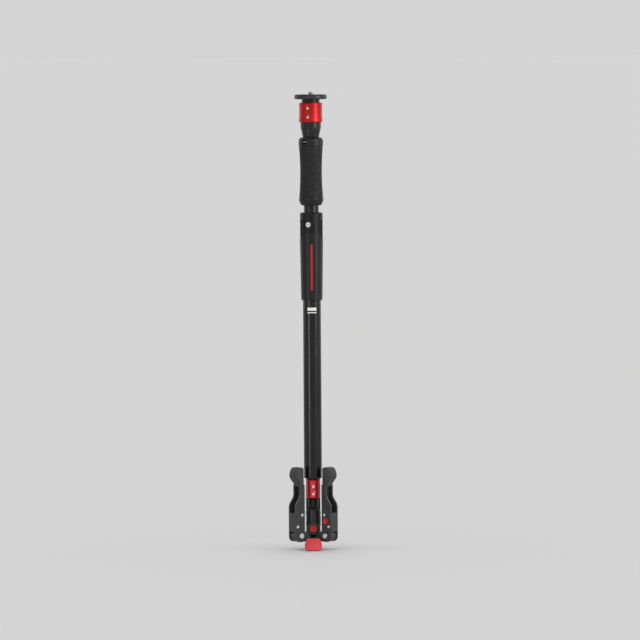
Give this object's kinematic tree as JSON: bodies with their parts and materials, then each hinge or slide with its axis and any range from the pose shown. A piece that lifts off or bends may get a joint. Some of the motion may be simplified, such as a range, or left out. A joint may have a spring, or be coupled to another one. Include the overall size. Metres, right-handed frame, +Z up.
{
  "type": "camera monopod",
  "caption": "Telescopic video monopod with a lever clamp, quick-release collars at head and base, a tilting and panning ball foot, a lock pedal and folding feet",
  "frame": {"origin": "on the column's axis, at the ground under the lock pedal's tip", "axes": "+Z up along the column, -Y the front with the pedal and the lever, +X to the right of the picture"},
  "size_m": [0.0986, 0.1026, 0.9152],
  "materials": {
    "black_metal": "satin black anodised",
    "black_tube": "matt black anodised tube",
    "black_plastic": "moulded, matt",
    "red_anodised": "satin red anodised",
    "red_pedal": "matt red",
    "rubber": "matt, textured",
    "steel": "bright",
    "nylon": "plain"
  },
  "bodies": {
    "base": {"base_hub": "black_metal", "ball_housing": "black_metal", "ball_retainer": "nylon", "front_cap": "black_plastic", "hub_screws": "steel", "pedal_pin": "steel"},
    "left_foot": {"left_arm": "black_metal", "left_pad": "rubber", "left_bolt": "steel", "left_screws": "steel", "left_spring": "steel"},
    "left_button": {"left_button": "red_anodised"},
    "right_foot": {"right_arm": "black_metal", "right_pad": "rubber", "right_bolt": "steel", "right_screws": "steel", "right_spring": "steel"},
    "right_button": {"right_button": "red_anodised"},
    "rear_foot": {"rear_arm": "black_metal", "rear_pad": "rubber", "rear_bolt": "steel", "rear_screws": "steel", "rear_spring": "steel"},
    "rear_button": {"rear_button": "red_anodised"},
    "pedal": {"lock_pedal": "red_pedal"},
    "tilt_lock": {"lock_plunger": "steel", "ball_seat": "nylon"},
    "ball": {"ball_stem": "black_metal", "pan_washer": "nylon"},
    "leg": {"pan_hub": "black_metal", "pan_screw": "steel", "base_socket": "black_metal", "base_lock_balls": "steel", "base_clip": "steel", "base_spring": "steel", "lower_tube": "black_tube", "clamp_collar": "black_metal", "clamp_bush": "nylon", "clamp_screw": "steel", "brake_shoes": "nylon", "lever_pins": "steel"},
    "base_collar": {"base_collar": "red_anodised"},
    "lever": {"lock_lever": "black_plastic"},
    "mast": {"upper_tube": "black_tube", "slide_bush": "nylon", "upper_plug": "nylon", "grip_bottom_ring": "black_plastic", "grip_sleeve": "rubber", "grip_top_ring": "black_plastic", "strap_bar": "steel", "head_socket": "black_metal", "head_lock_balls": "steel", "head_clip": "steel", "head_spring": "steel", "head_spigot": "black_metal", "camera_plate": "black_metal", "plate_facing": "rubber", "camera_screw": "steel"},
    "head_collar": {"head_collar": "red_anodised"}
  },
  "joints": [
    {"name": "left_foot_fold", "type": "hinge", "parent": "base", "child": "left_foot", "pos_m": [-0.03031, -0.0175, 0.0285], "axis": [0.5, -0.866, 0], "range_deg": [0, 100]},
    {"name": "right_foot_fold", "type": "hinge", "parent": "base", "child": "right_foot", "pos_m": [0.03031, -0.0175, 0.0285], "axis": [0.5, 0.866, 0], "range_deg": [0, 100]},
    {"name": "rear_foot_fold", "type": "hinge", "parent": "base", "child": "rear_foot", "pos_m": [0, 0.035, 0.0285], "axis": [-1, 0, 0], "range_deg": [0, 100]},
    {"name": "left_button_press", "type": "slide", "parent": "left_foot", "child": "left_button", "axis": [0.5, -0.866, 0], "range_m": [0, 0.002], "stiffness_N_per_m": 600, "springref_m": -0.002, "deforming": ["left_spring"]},
    {"name": "right_button_press", "type": "slide", "parent": "right_foot", "child": "right_button", "axis": [0.5, 0.866, 0], "range_m": [0, 0.002], "stiffness_N_per_m": 600, "springref_m": -0.002, "deforming": ["right_spring"]},
    {"name": "rear_button_press", "type": "slide", "parent": "rear_foot", "child": "rear_button", "axis": [-1, 0, 0], "range_m": [0, 0.002], "stiffness_N_per_m": 600, "springref_m": -0.002, "deforming": ["rear_spring"]},
    {"name": "pedal_lift", "type": "hinge", "parent": "base", "child": "pedal", "pos_m": [0, 0, 0.0225], "axis": [-1, 0, 0], "range_deg": [0, 20]},
    {"name": "tilt_lock_release", "type": "slide", "parent": "base", "child": "tilt_lock", "axis": [0, 0, -1], "range_m": [0, 0.00068]},
    {"name": "ball_tilt", "type": "hinge", "parent": "base", "child": "ball", "pos_m": [0, 0, 0.0585], "axis": [1, 0, 0], "range_deg": [0, 18]},
    {"name": "leg_pan", "type": "hinge", "parent": "ball", "child": "leg", "pos_m": [0, 0, 0.0915], "axis": [0, 0, 1], "continuous": true},
    {"name": "base_collar_pull", "type": "slide", "parent": "leg", "child": "base_collar", "axis": [0, 0, 1], "range_m": [0, 0.0032], "stiffness_N_per_m": 1200, "springref_m": -0.004, "deforming": ["base_spring"]},
    {"name": "lever_swing", "type": "hinge", "parent": "leg", "child": "lever", "pos_m": [0, 0, 0.6507], "axis": [-1, 0, 0], "range_deg": [0, 60]},
    {"name": "column_extend", "type": "slide", "parent": "leg", "child": "mast", "axis": [0, 0, 1], "range_m": [0, 0.4]},
    {"name": "head_collar_pull", "type": "slide", "parent": "mast", "child": "head_collar", "axis": [0, 0, -1], "range_m": [0, 0.005], "stiffness_N_per_m": 1200, "springref_m": -0.004, "deforming": ["head_spring"]}
  ],
  "couplings": [
    {"joint": "tilt_lock_release", "follows": "pedal_lift", "m_per_rad": 0.0019}
  ]
}
